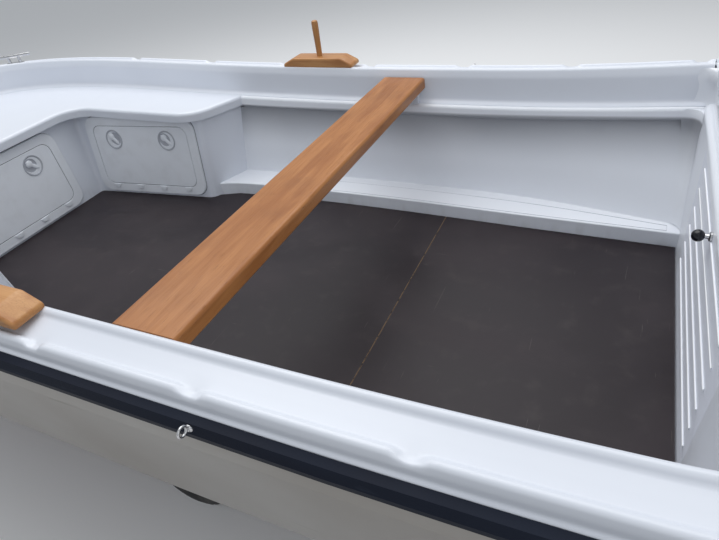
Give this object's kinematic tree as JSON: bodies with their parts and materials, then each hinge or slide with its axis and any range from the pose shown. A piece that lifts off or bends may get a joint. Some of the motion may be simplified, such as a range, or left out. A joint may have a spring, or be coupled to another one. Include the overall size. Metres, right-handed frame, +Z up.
{
  "type": "rowing boat",
  "caption": "Open glass-fibre rowing boat with a stern bench over lockers, a wooden thwart and thole pins, standing on a two-wheeled launching trolley.",
  "frame": {"origin": "middle of the footprint, on the ground", "axes": "+X towards the bow, +Y to port, +Z up"},
  "size_m": [4.246, 1.6476, 1.111],
  "materials": {
    "board_ply": "dark brown film-faced plywood",
    "bunk_pad": "dark carpet over a padded board",
    "deck_gelcoat": "white gelcoat with a light sheen",
    "galvanised": "hot-dip galvanised steel",
    "grip_rubber": "black ribbed grip",
    "hatch_plastic": "white moulded plastic",
    "hub_plastic": "black plastic cap",
    "hull_gelcoat": "cream gelcoat, glossy",
    "keel_plastic": "scuffed grey wear strip",
    "knob_plastic": "black ball knob",
    "latch_plastic": "pale grey moulded plastic",
    "rim_paint": "grey painted pressed steel",
    "stainless": "polished stainless steel",
    "strake_pvc": "dark navy flexible section",
    "thole_wood": "varnished light hardwood",
    "thwart_wood": "oiled mahogany",
    "tyre": "black rubber"
  },
  "bodies": {
    "boat": {"axle_beam": "galvanised", "bow_bulkhead": "deck_gelcoat", "bow_chock": "bunk_pad", "bulkhead_knob": "knob_plastic", "bunk_port": "bunk_pad", "bunk_posts": "galvanised", "bunk_starboard": "bunk_pad", "cleat_port": "stainless", "cleat_starboard": "stainless", "cockpit_side_port": "deck_gelcoat", "cockpit_side_starboard": "deck_gelcoat", "cockpit_sole": "deck_gelcoat", "cross_beam": "galvanised", "floorboard_aft": "board_ply", "floorboard_forward": "board_ply", "foredeck": "deck_gelcoat", "gunwale_moulding": "deck_gelcoat", "handle_grips": "grip_rubber", "hatch_frame_port": "hatch_plastic", "hatch_frame_starboard": "hatch_plastic", "hatch_frame_stern": "hatch_plastic", "hub_cap_port": "hub_plastic", "hub_cap_starboard": "hub_plastic", "hull_shell": "hull_gelcoat", "keel_band": "keel_plastic", "locker_front": "deck_gelcoat", "prop_leg": "galvanised", "rub_strake": "strake_pvc", "stern_bench": "deck_gelcoat", "strake_eye_port": "stainless", "strake_eye_starboard": "stainless", "thole_pad_port": "thole_wood", "thole_pad_starboard": "thole_wood", "thole_pin_port": "thole_wood", "thole_pin_starboard": "thole_wood", "thwart": "thwart_wood", "thwart_brackets": "deck_gelcoat", "trolley_handle": "galvanised", "trolley_spine": "galvanised"},
    "lid_port": {"hatch_lid_port": "hatch_plastic", "hatch_latches_port": "latch_plastic"},
    "lid_starboard": {"hatch_lid_starboard": "hatch_plastic", "hatch_latches_starboard": "latch_plastic"},
    "lid_stern": {"hatch_lid_stern": "hatch_plastic", "hatch_latches_stern": "latch_plastic"},
    "wheel_port": {"tyre_port": "tyre", "rim_port": "rim_paint"},
    "wheel_starboard": {"tyre_starboard": "tyre", "rim_starboard": "rim_paint"}
  },
  "joints": [
    {"name": "hatch_port", "type": "hinge", "parent": "boat", "child": "lid_port", "pos_m": [-1.10771, 0.39572, 0.54527], "axis": [0.9959, 0.0904, 0], "range_deg": [0, 105]},
    {"name": "hatch_starboard", "type": "hinge", "parent": "boat", "child": "lid_starboard", "pos_m": [-1.10771, -0.39572, 0.54527], "axis": [-0.9959, 0.0904, 0], "range_deg": [0, 105]},
    {"name": "hatch_stern", "type": "hinge", "parent": "boat", "child": "lid_stern", "pos_m": [-1.39827, 0, 0.54445], "axis": [0, 1, 0], "range_deg": [0, 88]},
    {"name": "wheel_port_spin", "type": "hinge", "parent": "boat", "child": "wheel_port", "pos_m": [-0.323, 0.51, 0.13], "axis": [0, 1, 0], "continuous": true},
    {"name": "wheel_starboard_spin", "type": "hinge", "parent": "boat", "child": "wheel_starboard", "pos_m": [-0.323, -0.51, 0.13], "axis": [0, 1, 0], "continuous": true}
  ]
}
